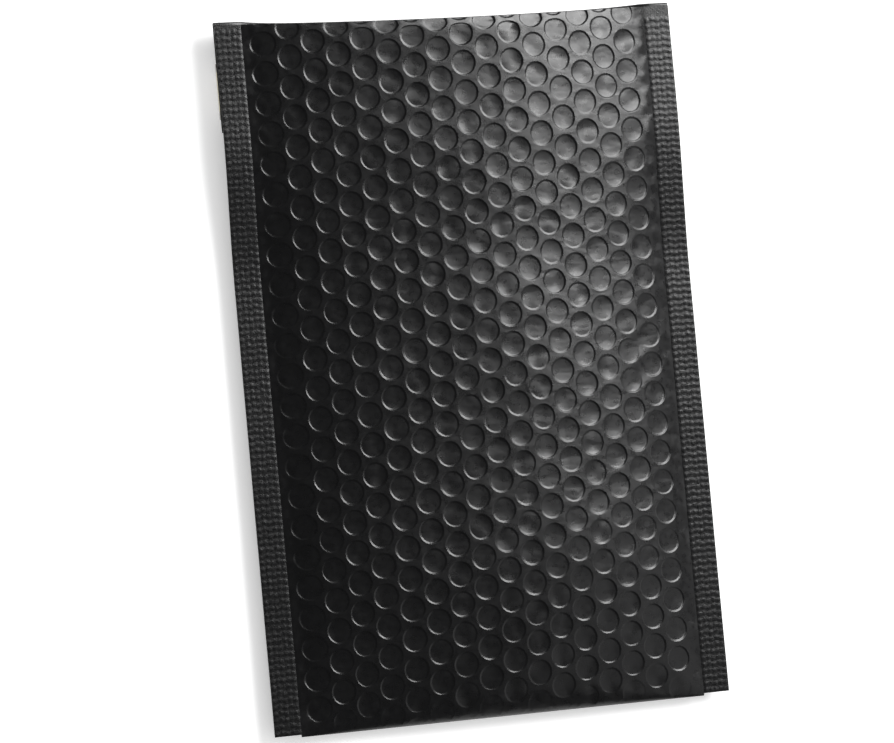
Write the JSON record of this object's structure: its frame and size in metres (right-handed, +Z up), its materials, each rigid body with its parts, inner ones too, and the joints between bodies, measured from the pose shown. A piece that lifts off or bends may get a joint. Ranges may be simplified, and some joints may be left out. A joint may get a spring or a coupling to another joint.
{
  "type": "padded envelope",
  "caption": "Black padded envelope with bubble lining, crimped side seals and a folded closing flap.",
  "frame": {"origin": "centre of the bounding box in X and Y, at the surface the envelope lies on", "axes": "+X across the width, +Y from the bottom fold to the mouth, +Z up out of the front face"},
  "size_m": [0.184, 0.2678, 0.019],
  "materials": {
    "black_film": "satin black polyethylene film, pressed over bubbles",
    "bubble_film": "clear bubble film, milky in the stack",
    "closing_glue": "clear, slightly yellow hot-melt glue",
    "liner_film": "white silicone-coated release film"
  },
  "bodies": {
    "root": {"outer_film": "black_film", "bubble_lining": "bubble_film", "adhesive_strip": "closing_glue", "release_liner": "liner_film"}
  },
  "joints": []
}
